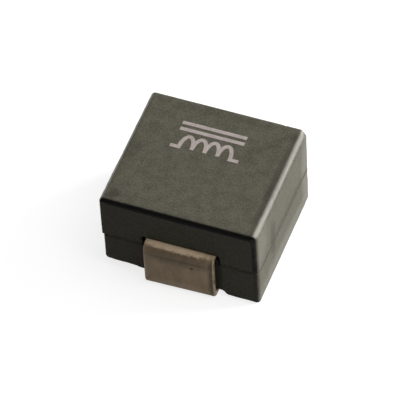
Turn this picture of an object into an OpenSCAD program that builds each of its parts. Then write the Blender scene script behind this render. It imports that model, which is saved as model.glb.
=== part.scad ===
// Shielded surface-mount power inductor with a single-turn conductor.
// Two ground ferrite halves are bonded around one flat tinned-copper strip.
// The strip's ends fold down over the two end faces and under the body as solder pads.
// Frame: X across the strip, Y along it, +Z up, origin at the centre of the footprint on the board.
// All sizes are in millimetres.

/* [Ferrite body] */
// Width of the upper core, across the strip
core_w = 12.9; // [8:0.1:25]
// Depth of both cores, along the strip
core_d = 11.6; // [9:0.1:25]
// Height of the finished part above the board
part_h = 8; // [6.4:0.1:12]
// Height of the bonded joint between the two cores
seam_z = 3.75; // [3:0.05:5]
// How much narrower the lower core is, all of it on the -X side
lower_inset = 0.15; // [0:0.05:0.6]
// Radius of the outer edges around the top and the underside
edge_r = 0.38; // [0.1:0.02:0.6]
// Radius of the four upright edges
corner_r = 0.45; // [0.2:0.05:1]
// Radius of the lower edges of the feet
foot_edge_r = 0.42; // [0.2:0.02:0.6]
// Radius of the edges that face the joint
seam_edge_r = 0.1; // [0.05:0.05:0.4]

/* [Copper strip] */
// Width of the strip
strip_w = 5.7; // [3:0.1:6.5]
// Thickness of the strip
strip_t = 0.5; // [0.2:0.05:0.6]
// Distance of the strip's centre line from the middle of the body
strip_x = 0.12; // [-0.3:0.02:0.3]
// How far the land under the strip rises above the joint
land_h = 0.42; // [0.1:0.02:0.8]
// Outer radius of the four bends
bend_r = 0.7; // [0.65:0.05:1]
// Gap between a folded leg and the end face of the lower core
leg_gap = 0.2; // [0.05:0.05:0.6]
// Length of each solder pad, from the leg's outer face inward
pad_len = 2.9; // [1.8:0.1:4]

/* [Fits] */
// Gap at each side of the strip in the slot of the upper core
slot_side_gap = 0.32; // [0.1:0.02:0.5]
// Gap above the strip in the slot
slot_top_gap = 0.05; // [0.02:0.01:0.3]
// Radius in the slot's two upper corners
slot_corner_r = 0.15; // [0.05:0.05:0.3]
// Gap between the land of the lower core and each wall of the slot
land_gap = 0.1; // [0.05:0.05:0.3]
// Thickness of the adhesive in the joint
bond_t = 0.08; // [0.04:0.02:0.2]
// How far the adhesive stays back from the outer faces
bond_setback = 0.06; // [0.05:0.01:0.5]

/* [Underside] */
// Depth of the underside channel above the pads' inner faces
pad_clear = 0.14; // [0.02:0.02:0.3]
// Height of the feet above the board
foot_lift = 0.05; // [0:0.01:0.2]
// Distance from the strip's edge to the start of the channel's flank
flank_gap = 0.2; // [0.1:0.05:0.8]
// Width of the S-shaped flank of the channel
flank_w = 1; // [0.6:0.05:1.4]
// How far the foot on the -X side stops short of the -Y end face
foot_notch = 0.8; // [0.4:0.1:2]

/* [Hidden] */
$fn = 64;
// Extra reach of every cutting body past the surface that it cuts
over = 1;
// How far two shapes of one solid run into each other
weld = 0.5;

upper_bottom_z = seam_z + bond_t / 2;
lower_top_z = seam_z - bond_t / 2;
strip_under_z = seam_z + land_h;
strip_top_z = strip_under_z + strip_t;
slot_w = strip_w + 2 * slot_side_gap;
slot_top_z = strip_top_z + slot_top_gap;
land_w = slot_w - 2 * land_gap;
lower_w = core_w - lower_inset;
lower_x = lower_inset / 2;
leg_y = core_d / 2 + leg_gap + strip_t;
bend_y = leg_y - bend_r;
land_l = 2 * min(core_d / 2, bend_y);
channel_z = strip_t + pad_clear;
channel_left = strip_x - strip_w / 2 - flank_gap;
channel_right = strip_x + strip_w / 2 + flank_gap;

// Rectangle standing on y = 0 and centred on x, with one radius below and one above
module soft_rect(w, h, r_low, r_high) {
    translate([-w / 2, r_low]) square([w, h - r_low - r_high]);
    for (side = [-1, 1]) {
        translate([side * (w / 2 - r_low), r_low]) circle(r_low);
        translate([side * (w / 2 - r_high), h - r_high]) circle(r_high);
    }
    translate([r_low - w / 2, 0]) square([w - 2 * r_low, 2 * r_low]);
    translate([r_high - w / 2, h - 2 * r_high]) square([w - 2 * r_high, 2 * r_high]);
}

// Profile drawn in X and Z, swept over the length l, centred on y = 0
module sweep_y(l) {
    translate([0, l / 2, 0]) rotate([90, 0, 0]) linear_extrude(l) children();
}

// Profile drawn in Y and Z, swept over the length l, centred on x = 0
module sweep_x(l) {
    translate([-l / 2, 0, 0]) rotate([90, 0, 90]) linear_extrude(l) children();
}

// Ferrite block standing on z = 0, with rounded upright edges and its own radius at each rim
module ferrite_block(w, d, h, r_low, r_high) {
    intersection() {
        sweep_y(d) soft_rect(w, h, r_low, r_high);
        sweep_x(w) soft_rect(d, h, r_low, r_high);
        linear_extrude(h) translate([0, -d / 2]) soft_rect(w, d, corner_r, corner_r);
    }
}

// Half an S between two levels: the flank of a foot, rising towards -X, as a profile in X and Z
module flank_profile(rise) {
    s_r = (pow(flank_w / 2, 2) + pow(rise / 2, 2)) / rise;
    // Lower, convex half
    intersection() {
        translate([0, s_r]) circle(s_r);
        translate([-flank_w / 2, 0]) square([flank_w / 2, rise / 2]);
    }
    // Upper, concave half
    difference() {
        translate([-flank_w, rise / 2]) square([flank_w / 2, rise / 2]);
        translate([-flank_w, rise - s_r]) circle(s_r);
    }
    // Full section over the convex half, up into the block
    translate([-flank_w / 2, rise / 2]) square([flank_w / 2, rise / 2]);
    translate([-flank_w, rise]) square([flank_w, weld]);
}

// One foot: a strip of the block below the channel's roof, from its flank to the outer face.
// side is 1 for +X and -1 for -X, inner_x is where its flat starts.
module foot(side, inner_x) {
    rise = channel_z - foot_lift;
    intersection() {
        translate([lower_x, 0, foot_lift])
            ferrite_block(lower_w, core_d, lower_top_z - foot_lift, foot_edge_r, seam_edge_r);
        union() {
            translate([inner_x, 0, foot_lift]) mirror([side < 0 ? 1 : 0, 0, 0])
                sweep_y(core_d + 2 * over) flank_profile(rise);
            translate([side > 0 ? inner_x : -core_w, -core_d / 2 - over, foot_lift - over])
                cube([side > 0 ? core_w - inner_x : core_w + inner_x, core_d + 2 * over, over + rise + weld]);
        }
    }
}

// Adhesive layer between the cores, from x_from to x_to
module bond(x_from, x_to) {
    translate([x_from, -core_d / 2 + bond_setback, lower_top_z])
        cube([x_to - x_from, core_d - 2 * bond_setback, bond_t]);
}

// Quarter ring of the folded strip, as a profile in Y and Z.
// It bulges towards +Y, and upwards where up is 1 or downwards where up is -1.
module bend(up) {
    intersection() {
        difference() {
            circle(bend_r);
            circle(bend_r - strip_t);
        }
        translate([0, up > 0 ? 0 : -bend_r]) square(bend_r);
    }
}

// Half of the strip's folded section, from the middle of the body to the +Y pad's end
module strip_half() {
    translate([0, strip_under_z]) square([bend_y, strip_t]);
    translate([bend_y, strip_top_z - bend_r]) bend(1);
    translate([leg_y - strip_t, bend_r]) square([strip_t, strip_top_z - 2 * bend_r]);
    translate([bend_y, bend_r]) bend(-1);
    translate([leg_y - pad_len, 0]) square([pad_len - bend_r, strip_t]);
}

// Lower ferrite half: block over the pads, two feet beside the channel, and the land under the strip
module lower_core() {
    color([0.33, 0.32, 0.29]) union() {
        translate([lower_x, 0, channel_z])
            ferrite_block(lower_w, core_d, lower_top_z - channel_z, edge_r, seam_edge_r);
        foot(1, channel_right + flank_w);
        difference() {
            foot(-1, channel_left - flank_w);
            translate([-core_w, -core_d / 2 - over, -over])
                cube([core_w, over + foot_notch, over + channel_z + foot_edge_r]);
        }
        translate([strip_x - land_w / 2, -land_l / 2, lower_top_z - weld])
            cube([land_w, land_l, strip_under_z - lower_top_z + weld]);
    }
}

// Upper ferrite half with the slot that the strip and the land pass through
module upper_core() {
    color([0.36, 0.35, 0.31]) difference() {
        translate([0, 0, upper_bottom_z])
            ferrite_block(core_w, core_d, part_h - upper_bottom_z, seam_edge_r, edge_r);
        translate([strip_x, 0, upper_bottom_z - over]) sweep_y(core_d + 2 * over)
            soft_rect(slot_w, slot_top_z - upper_bottom_z + over, slot_corner_r, slot_corner_r);
    }
}

// The one-piece copper strip: its run through the cores, two legs and two solder pads
module conductor() {
    color([0.62, 0.55, 0.47]) translate([strip_x, 0, 0]) sweep_x(strip_w) {
        strip_half();
        mirror([1, 0]) strip_half();
    }
}

// Adhesive in the joint on the -X side
module left_bond() {
    color([0.2, 0.17, 0.13]) bond(bond_setback - core_w / 2 + lower_inset, strip_x - slot_w / 2 - bond_setback);
}

// Adhesive in the joint on the +X side
module right_bond() {
    color([0.2, 0.17, 0.13]) bond(strip_x + slot_w / 2 + bond_setback, core_w / 2 - bond_setback);
}

lower_core();
upper_core();
conductor();
left_bond();
right_bond();
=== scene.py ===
"""Looks of a shielded surface-mount power inductor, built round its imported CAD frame.

Two ground ferrite halves, one folded tin-plated copper strip, the adhesive in their joint and a printed
coil sign are modelled here as finished meshes. Everything is in metres, in the frame of the CAD part.
"""

import logging
import math
from collections.abc import Callable
from dataclasses import dataclass, field
from enum import Enum

import bmesh
import bpy
import numpy as np
from mathutils import Matrix, Vector
from mathutils.geometry import delaunay_2d_cdt


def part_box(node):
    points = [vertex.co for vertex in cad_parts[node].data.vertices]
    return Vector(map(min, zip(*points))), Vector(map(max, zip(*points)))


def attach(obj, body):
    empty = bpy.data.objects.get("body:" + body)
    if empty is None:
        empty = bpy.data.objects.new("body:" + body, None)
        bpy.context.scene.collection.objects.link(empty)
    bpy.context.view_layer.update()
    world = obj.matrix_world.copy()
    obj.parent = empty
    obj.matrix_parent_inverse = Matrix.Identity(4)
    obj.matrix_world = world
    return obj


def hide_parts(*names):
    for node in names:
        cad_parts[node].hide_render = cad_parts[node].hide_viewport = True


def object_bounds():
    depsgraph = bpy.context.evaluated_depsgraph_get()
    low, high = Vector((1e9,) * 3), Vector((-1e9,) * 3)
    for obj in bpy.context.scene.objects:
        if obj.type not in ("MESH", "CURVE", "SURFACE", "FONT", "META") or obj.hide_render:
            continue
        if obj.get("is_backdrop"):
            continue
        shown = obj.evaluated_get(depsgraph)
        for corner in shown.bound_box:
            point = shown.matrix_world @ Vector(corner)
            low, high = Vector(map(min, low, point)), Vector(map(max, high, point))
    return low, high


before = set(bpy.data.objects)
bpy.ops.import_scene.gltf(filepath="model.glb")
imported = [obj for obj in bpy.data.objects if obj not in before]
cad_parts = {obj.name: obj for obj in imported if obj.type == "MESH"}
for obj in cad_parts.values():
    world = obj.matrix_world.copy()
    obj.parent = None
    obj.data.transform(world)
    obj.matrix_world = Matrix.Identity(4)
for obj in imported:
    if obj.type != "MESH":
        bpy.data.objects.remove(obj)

MM = 0.001
QUARTER_TURN = math.pi / 2
ROOT = "root"
# the glint attribute holds a painted highlight and the shade attribute painted shade on the rims; rim weights the
# rims' wear
RIM, GLINT, SHADE = "rim", "glint", "shade"
FLOAT, INTEGER, VECTOR, GEOMETRY = (
    "NodeSocketFloat", "NodeSocketInt", "NodeSocketVector", "NodeSocketGeometry")
WHITE = (1.0, 1.0, 1.0, 1.0)
log = logging.getLogger("inductor")

Colour = tuple[float, float, float, float]
Point = tuple[float, float, float]
Edge = tuple[Point, Point]
Bite = tuple[np.ndarray, float]
Socket = bpy.types.NodeSocket
Node = bpy.types.Node
Tree = bpy.types.NodeTree
Material = bpy.types.Material
Piece = bpy.types.Object


# ---------------------------------------------------------------- nodes


class NodeTree:
    """Short calls for placing and wiring the nodes of one tree."""

    def __init__(self, tree: Tree) -> None:
        """Wraps the shader or geometry tree that the nodes go into."""
        self.tree = tree

    def add(self, kind: str, inputs: dict | None = None, **settings: object) -> Node:
        """Places one node.

        Args:
            kind: The node's type name.
            inputs: Values or source sockets for its inputs, by name or index.
            **settings: Attributes of the node itself.

        Returns:
            The new node.
        """
        node = self.tree.nodes.new(kind)
        for key, value in settings.items():
            setattr(node, key, value)
        for key, value in (inputs or {}).items():
            self.feed(node, key, value)
        return node

    def feed(self, node: Node, key: str | int, value: object) -> None:
        """Sets or links one input of a node.

        Args:
            node: The node that takes the value.
            key: The input's name or index.
            value: A plain value, or the socket that feeds the input.
        """
        socket = node.inputs[key]
        if isinstance(value, Socket):
            self.tree.links.new(value, socket)
        else:
            socket.default_value = value

    def math(self, operation: str, a: object, b: object = 0.0, c: object = 0.0, clamp: bool = False) -> Socket:
        """Places a Math node and gives its result."""
        settings = {"operation": operation, "use_clamp": clamp}
        return self.add("ShaderNodeMath", {0: a, 1: b, 2: c}, **settings).outputs[0]

    def vector(self, operation: str, a: Socket, b: object = (0.0, 0.0, 0.0), result: str = "Vector") -> Socket:
        """Places a Vector Math node and gives one of its results."""
        return self.add("ShaderNodeVectorMath", {0: a, 1: b}, operation=operation).outputs[result]

    def point(self, **parts: object) -> Socket:
        """Joins parts named X, Y and Z into one vector."""
        return self.add("ShaderNodeCombineXYZ", parts).outputs[0]

    def noise(self, place: Socket, cell: Socket, detail: float, roughness: float = 0.5) -> Node:
        """Places a Noise Texture.

        Args:
            place: Where it is read.
            cell: Size of its largest features, in metres.
            detail: Number of octaves.
            roughness: Weight of the small features.

        Returns:
            The texture's node.
        """
        scale = self.math("DIVIDE", 1.0, cell)
        values = {"Vector": place, "Scale": scale, "Detail": detail, "Roughness": roughness}
        return self.add("ShaderNodeTexNoise", values)

    def blend(self, amount: object, low: object, high: object) -> Socket:
        """Mixes two colours.

        Args:
            amount: How much of the second colour, 0 to 1.
            low: First colour or socket.
            high: Second colour or socket.

        Returns:
            The mixed colour's socket.
        """
        node = self.add("ShaderNodeMix", data_type="RGBA", clamp_factor=True)
        for key, value in ((0, amount), (6, low), (7, high)):
            self.feed(node, key, value)
        return node.outputs[2]

    def ramp(self, value: Socket, low: object, high: object, to_low: float = 0.0, to_high: float = 1.0) -> Socket:
        """Maps a value smoothly from the range low to high to the range to_low to to_high."""
        limits = {"Value": value, "From Min": low, "From Max": high, "To Min": to_low, "To Max": to_high}
        return self.add("ShaderNodeMapRange", limits, interpolation_type="SMOOTHSTEP").outputs["Result"]


def emptied_tree(owner: bpy.types.ID) -> NodeTree:
    """Empties the node tree of a new material or world.

    Args:
        owner: The material or world.

    Returns:
        Its tree, wrapped.
    """
    owner.use_nodes = True
    owner.node_tree.nodes.clear()
    return NodeTree(owner.node_tree)


def new_group(name: str, kind: str, inputs: dict, outputs: dict) -> tuple[NodeTree, dict, Node]:
    """Makes an empty node group with named sockets.

    Args:
        name: The group's name.
        kind: "ShaderNodeTree" or "GeometryNodeTree".
        inputs: Socket type and default value, or None, by input name.
        outputs: Socket type by output name.

    Returns:
        The wrapped group, its inputs' sockets by name, and its output node.
    """
    group = bpy.data.node_groups.new(name, kind)
    for label, (socket_type, default) in inputs.items():
        socket = group.interface.new_socket(label, in_out="INPUT", socket_type=socket_type)
        if default is not None:
            socket.default_value = default
    for label, socket_type in outputs.items():
        group.interface.new_socket(label, in_out="OUTPUT", socket_type=socket_type)
    n = NodeTree(group)
    given = {socket.name: socket for socket in n.add("NodeGroupInput").outputs}
    return n, given, n.add("NodeGroupOutput")


class SurfaceEffects:
    """The shader node groups that several finishes share, each built once."""

    NOISE_LOW, NOISE_HIGH = 0.28, 0.72
    CLOUD_HEIGHT, FINE_HEIGHT = 0.35, 0.65
    WEAR_NOISE, WEAR_START, WEAR_EDGE = 0.9, -0.75, 0.4
    BLOT_CORE = 0.35

    def __init__(self) -> None:
        """Builds every group."""
        self.grain = self._grain()
        self.rim_wear = self._rim_wear()
        self.blot = self._blot()

    def _grain(self) -> Tree:
        """Builds the group of cloudy and fine mottling.

        Returns:
            A group that gives a cloud mask, a fine grain mask and a height.
        """
        n, given, out = new_group(
            "grain", "ShaderNodeTree",
            {"Cell": (FLOAT, 0.4 * MM), "Fine Cell": (FLOAT, 0.1 * MM), "Stretch": (VECTOR, (1, 1, 1))},
            {"Clouds": FLOAT, "Fine": FLOAT, "Height": FLOAT})
        place = n.add("ShaderNodeTexCoord").outputs["Object"]
        stretched = n.vector("MULTIPLY", place, given["Stretch"])
        clouds, fine = (
            n.ramp(n.noise(stretched, given[cell], detail, rough).outputs[0], self.NOISE_LOW, self.NOISE_HIGH)
            for cell, detail, rough in (("Cell", 3.0, 0.6), ("Fine Cell", 2.0, 0.7)))
        height = n.math("MULTIPLY_ADD", clouds, self.CLOUD_HEIGHT, n.math("MULTIPLY", fine, self.FINE_HEIGHT))
        for label, value in (("Clouds", clouds), ("Fine", fine), ("Height", height)):
            n.feed(out, label, value)
        return n.tree

    def _rim_wear(self) -> Tree:
        """Builds the group of broken wear along the rims.

        Returns:
            A group that gives a wear mask, strongest where the mesh's rim attribute is high.
        """
        n, given, out = new_group(
            "rim_wear", "ShaderNodeTree", {"Cell": (FLOAT, 0.5 * MM), "Reach": (FLOAT, 0.5)}, {"Mask": FLOAT})
        place = n.add("ShaderNodeTexCoord").outputs["Object"]
        rim = n.add("ShaderNodeAttribute", attribute_name=RIM).outputs["Fac"]
        noise = n.noise(place, given["Cell"], 4.0, 0.7).outputs[0]
        reach = n.math("ADD", given["Reach"], self.WEAR_START)
        broken = n.math("MULTIPLY_ADD", noise, self.WEAR_NOISE, reach)
        n.feed(out, "Mask", n.math("MULTIPLY", rim, n.ramp(broken, 0.0, self.WEAR_EDGE), clamp=True))
        return n.tree

    def _blot(self) -> Tree:
        """Builds the group of one soft-edged blot with a ragged outline.

        Returns:
            A group that gives a mask, 1 at the blot's centre and 0 outside it.
        """
        n, given, out = new_group(
            "blot", "ShaderNodeTree",
            {"Centre": (VECTOR, None), "Size": (VECTOR, (MM, MM, MM)), "Ragged": (FLOAT, 0.5),
             "Cell": (FLOAT, 0.6 * MM), "Turn": (FLOAT, 0.0)},
            {"Mask": FLOAT})
        place = n.add("ShaderNodeTexCoord").outputs["Object"]
        turned = {"Vector": n.vector("SUBTRACT", place, given["Centre"]),
                  "Angle": n.math("MULTIPLY", given["Turn"], -1.0)}
        away = n.add("ShaderNodeVectorRotate", turned, rotation_type="Z_AXIS").outputs[0]
        length = n.vector("LENGTH", n.vector("DIVIDE", away, given["Size"]), result="Value")
        noise = n.noise(place, given["Cell"], 3.0).outputs[0]
        uneven = n.math("MULTIPLY", n.math("SUBTRACT", noise, 0.5), given["Ragged"])
        n.feed(out, "Mask", n.ramp(n.math("ADD", length, uneven), 1.0, self.BLOT_CORE))
        return n.tree


# ---------------------------------------------------------------- finishes


@dataclass(frozen=True)
class Blot:
    """One stain, rubbed place, painted shade or painted highlight on a surface.

    Args:
        centre: Its middle, in metres.
        size: Half its size along X, Y and Z, in metres.
        strength: How much of its colour shows at its centre.
        ragged: How uneven its outline is.
        turn: Turn about Z, in radians.
    """

    centre: Point
    size: Point
    strength: float
    ragged: float = 0.5
    turn: float = 0.0

    @staticmethod
    def near(anchor: Point, shift: Point, size: Point, *rest: float) -> "Blot":
        """Places a blot beside an anchor; its shift and its half size are in millimetres."""
        centre = tuple(a + s * MM for a, s in zip(anchor, shift))
        return Blot(centre, tuple(s * MM for s in size), *rest)

    def mask(self, n: NodeTree, effects: SurfaceEffects, cell: float) -> Socket:
        """Places the blot in a material.

        Args:
            n: The material's tree.
            effects: The shared shader groups.
            cell: Unevenness of the blot's outline, in metres.

        Returns:
            The blot's mask, weighted by its strength.
        """
        sizes = {"Centre": self.centre, "Size": self.size, "Cell": cell, "Ragged": self.ragged, "Turn": self.turn}
        spot = n.add("ShaderNodeGroup", sizes, node_tree=effects.blot)
        return n.math("MULTIPLY", spot.outputs["Mask"], self.strength)


class Mottle(Enum):
    """The mottling that a finish's roughness follows."""

    CLOUDS = "Clouds"
    FINE = "Fine"


@dataclass(frozen=True)
class Finish:
    """A mottled finish with a fine bump, which is all that adhesive and ink need.

    Args:
        name: The material's name.
        light: Colour of the pale mottles.
        dark: Colour of the dark mottles.
        roughness: Middle of the roughness.
        specular: The specular level.
        cloud_cell: Size of the large mottles, in metres.
        fine_cell: Size of the small mottles, in metres.
        stretch: How much closer the mottles lie along X, Y and Z.
        rough_by: The mottling that the roughness follows.
        spread: How far the roughness varies.
        bump: Strength of the bump.
        bump_depth: Depth of the bump, in metres.
    """

    name: str
    light: Colour
    dark: Colour
    roughness: float = 0.6
    specular: float = 0.4
    cloud_cell: float = 0.4 * MM
    fine_cell: float = 0.1 * MM
    stretch: Point = (1.0, 1.0, 1.0)
    rough_by: Mottle = Mottle.FINE
    spread: float = 0.1
    bump: float = 0.3
    bump_depth: float = 0.01 * MM

    def material(self, effects: SurfaceEffects) -> Material:
        """Builds the material.

        Args:
            effects: The shared shader groups.

        Returns:
            A procedural material.
        """
        material = bpy.data.materials.new(self.name)
        n = emptied_tree(material)
        surface = n.add("ShaderNodeBsdfPrincipled")
        n.add("ShaderNodeOutputMaterial", {"Surface": surface.outputs[0]})
        cells = {"Cell": self.cloud_cell, "Fine Cell": self.fine_cell, "Stretch": self.stretch}
        grain = n.add("ShaderNodeGroup", cells, node_tree=effects.grain).outputs
        n.feed(surface, "Base Color", self.colour(n, effects, grain))
        least = self.roughness - self.spread / 2
        n.feed(surface, "Roughness", n.math("MULTIPLY_ADD", grain[self.rough_by.value], self.spread, least))
        heights = {"Height": grain["Height"], "Strength": self.bump, "Distance": self.bump_depth}
        n.feed(surface, "Normal", n.add("ShaderNodeBump", heights).outputs["Normal"])
        surface.inputs["Specular IOR Level"].default_value = self.specular
        self.polish(n, surface)
        return material

    def colour(self, n: NodeTree, effects: SurfaceEffects, grain: bpy.types.bpy_prop_collection) -> Socket:
        """Wires the colour, here of the mottles alone."""
        return n.blend(grain["Height"], self.dark, self.light)

    def polish(self, n: NodeTree, surface: Node) -> None:
        """Sets what else the surface needs, here nothing."""


@dataclass(frozen=True)
class WornFinish(Finish):
    """A finish with stained places, painted shade, painted light and broken wear along its rims.

    Args:
        stain_and_shade: Colour of the stained places and of the painted shade.
        worn_and_lit: Colour of the worn rims and of the painted light.
        fine_share: How much of the mottling is fine.
        wear_cell: Size of the breaks in the rims' wear, in metres.
        wear_reach: How much of the rims is worn.
        wear_share: How much of the rubbed colour shows there.
        mark_cell: Unevenness of the marks' outlines, in metres.
        stains_and_shade: The stained places and the patches of painted shade.
        lights: The patches of painted light and painted highlight.
    """

    stain_and_shade: Colour = (0.0, 0.0, 0.0, 1.0)
    worn_and_lit: Colour = WHITE
    fine_share: float = 0.5
    wear_cell: float = 0.5 * MM
    wear_reach: float = 0.5
    wear_share: float = 0.8
    mark_cell: float = 0.5 * MM
    stains_and_shade: tuple[Blot, ...] = ()
    lights: tuple[Blot, ...] = ()

    def mottled(self, n: NodeTree, grain: bpy.types.bpy_prop_collection) -> Socket:
        """Wires the colour under all wear."""
        clouds = n.math("MULTIPLY", grain["Clouds"], 1 - self.fine_share)
        return n.blend(n.math("MULTIPLY_ADD", grain["Fine"], self.fine_share, clouds), self.dark, self.light)

    def worn(self, n: NodeTree, effects: SurfaceEffects, colour: Socket) -> Socket:
        """Wires the wear along the rims over a colour."""
        wear = n.add("ShaderNodeGroup", {"Cell": self.wear_cell, "Reach": self.wear_reach}, node_tree=effects.rim_wear)
        return n.blend(n.math("MULTIPLY", wear.outputs["Mask"], self.wear_share), colour, self.worn_and_lit)

    def marked(self, n: NodeTree, effects: SurfaceEffects, colour: Socket, marks: list[tuple[Blot, Colour]]) -> Socket:
        """Wires marks over a colour.

        Args:
            n: The material's tree.
            effects: The shared shader groups.
            colour: What lies under them.
            marks: Each mark and its colour, the lowest first.

        Returns:
            The marked colour's socket.
        """
        for blot, shown in marks:
            colour = n.blend(blot.mask(n, effects, self.mark_cell), colour, shown)
        return colour


@dataclass(frozen=True)
class FerriteFinish(WornFinish):
    """Ground sintered ferrite: matt olive-grey with fine mottling and worn rims, a painted highlight on the upper
    right and left rims, and painted shade on the front rims.

    Args:
        painted_rim_shade: Colour of the painted shade on the front rims.
        painted_highlight: Colour of the painted highlight on the bright rims.
        shade_start: The shade value at which a rim starts to darken.
        shade_full: The shade value at which it is all dark.
        glint_share: How much of the painted highlight shows on the bright rims.
        rim_coat: Weight of their gloss coat.
        coat_roughness: Roughness of that coat.
    """

    light: Colour = (0.106, 0.101, 0.076, 1.0)
    dark: Colour = (0.050, 0.0475, 0.036, 1.0)
    roughness: float = 0.5
    specular: float = 0.05
    cloud_cell: float = 0.9 * MM
    fine_cell: float = 0.16 * MM
    rough_by: Mottle = Mottle.CLOUDS
    bump: float = 0.35
    bump_depth: float = 0.012 * MM
    stain_and_shade: Colour = (0.02, 0.018, 0.014, 1.0)
    worn_and_lit: Colour = (0.16, 0.155, 0.13, 1.0)
    fine_share: float = 0.65
    wear_cell: float = 0.6 * MM
    wear_reach: float = 0.1
    mark_cell: float = 0.6 * MM
    painted_rim_shade: Colour = (0.009, 0.0085, 0.008, 1.0)
    painted_highlight: Colour = (0.39, 0.38, 0.34, 1.0)
    shade_start: float = 0.05
    shade_full: float = 0.6
    glint_share: float = 0.6
    rim_coat: float = 0.3
    coat_roughness: float = 0.3

    def colour(self, n: NodeTree, effects: SurfaceEffects, grain: bpy.types.bpy_prop_collection) -> Socket:
        """Wires the colour: painted highlight and painted shade on the rims, wear, then the patches of painted light,
        and the dark marks with their painted shade.

        Args:
            n: The material's tree.
            effects: The shared shader groups.
            grain: The mottling's outputs.

        Returns:
            The colour's socket.
        """
        glint, shade = (n.add("ShaderNodeAttribute", attribute_name=a).outputs["Fac"] for a in (GLINT, SHADE))
        # Painted highlight on the rims from the glint attribute, then painted shade on the front rims from the shade
        # attribute.
        colour = n.blend(n.math("MULTIPLY", glint, self.glint_share), self.mottled(n, grain), self.painted_highlight)
        colour = n.blend(n.ramp(shade, self.shade_start, self.shade_full), colour, self.painted_rim_shade)
        # The light marks are painted light; the dark marks are smears, dark patches and painted shade by the strip.
        marks = [(b, self.worn_and_lit) for b in self.lights] + [(b, self.stain_and_shade) for b in self.stains_and_shade]
        return self.marked(n, effects, self.worn(n, effects, colour), marks)

    def polish(self, n: NodeTree, surface: Node) -> None:
        """Gives the bright rims their gloss coat.

        Args:
            n: The material's tree.
            surface: Its Principled node.
        """
        glint = n.add("ShaderNodeAttribute", attribute_name=GLINT).outputs["Fac"]
        n.feed(surface, "Coat Weight", n.math("MULTIPLY", glint, self.rim_coat))
        surface.inputs["Coat Roughness"].default_value = self.coat_roughness


@dataclass(frozen=True)
class TinFinish(WornFinish):
    """Dull tin plate over copper, brushed down its length and tarnished in the folds, with painted highlights on its
    bend and leg and painted shade on the leg's right side.

    Args:
        metallic: How metallic the plate is.
    """

    light: Colour = (0.44, 0.335, 0.222, 1.0)
    dark: Colour = (0.3, 0.225, 0.145, 1.0)
    roughness: float = 0.42
    specular: float = 0.06
    cloud_cell: float = 0.55 * MM
    fine_cell: float = 0.13 * MM
    stretch: Point = (1.0, 0.45, 0.45)
    spread: float = 0.16
    bump_depth: float = 0.02 * MM
    stain_and_shade: Colour = (0.035, 0.025, 0.016, 1.0)
    worn_and_lit: Colour = (0.8, 0.62, 0.43, 1.0)
    fine_share: float = 0.4
    wear_cell: float = 0.4 * MM
    wear_reach: float = 0.6
    mark_cell: float = 0.2 * MM
    metallic: float = 0.15

    def colour(self, n: NodeTree, effects: SurfaceEffects, grain: bpy.types.bpy_prop_collection) -> Socket:
        """Wires the colour: dark marks and the painted shade, then painted highlights, then the bright edges."""
        marks = [(b, self.stain_and_shade) for b in self.stains_and_shade] + [(b, self.worn_and_lit) for b in self.lights]
        return self.worn(n, effects, self.marked(n, effects, self.mottled(n, grain), marks))

    def polish(self, n: NodeTree, surface: Node) -> None:
        """Makes the plate slightly metallic."""
        surface.inputs["Metallic"].default_value = self.metallic


# ---------------------------------------------------------------- outlines and blocks


@dataclass(frozen=True)
class Corner:
    """One corner of an outline, in metres.

    Args:
        x: Place along X.
        z: Place along Z.
        radius: Radius of the corner's own round.
        end_radius: Radius between the end faces and the side that starts here.
    """

    x: float
    z: float
    radius: float
    end_radius: float


@dataclass(frozen=True)
class Ring:
    """One closed row of points round a block.

    Args:
        across: X and Z of each point.
        depth: How far each point lies behind the end face.
        rim: How much each point belongs to a broad round, 0 to 1.
    """

    across: np.ndarray
    depth: np.ndarray
    rim: np.ndarray


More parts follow.
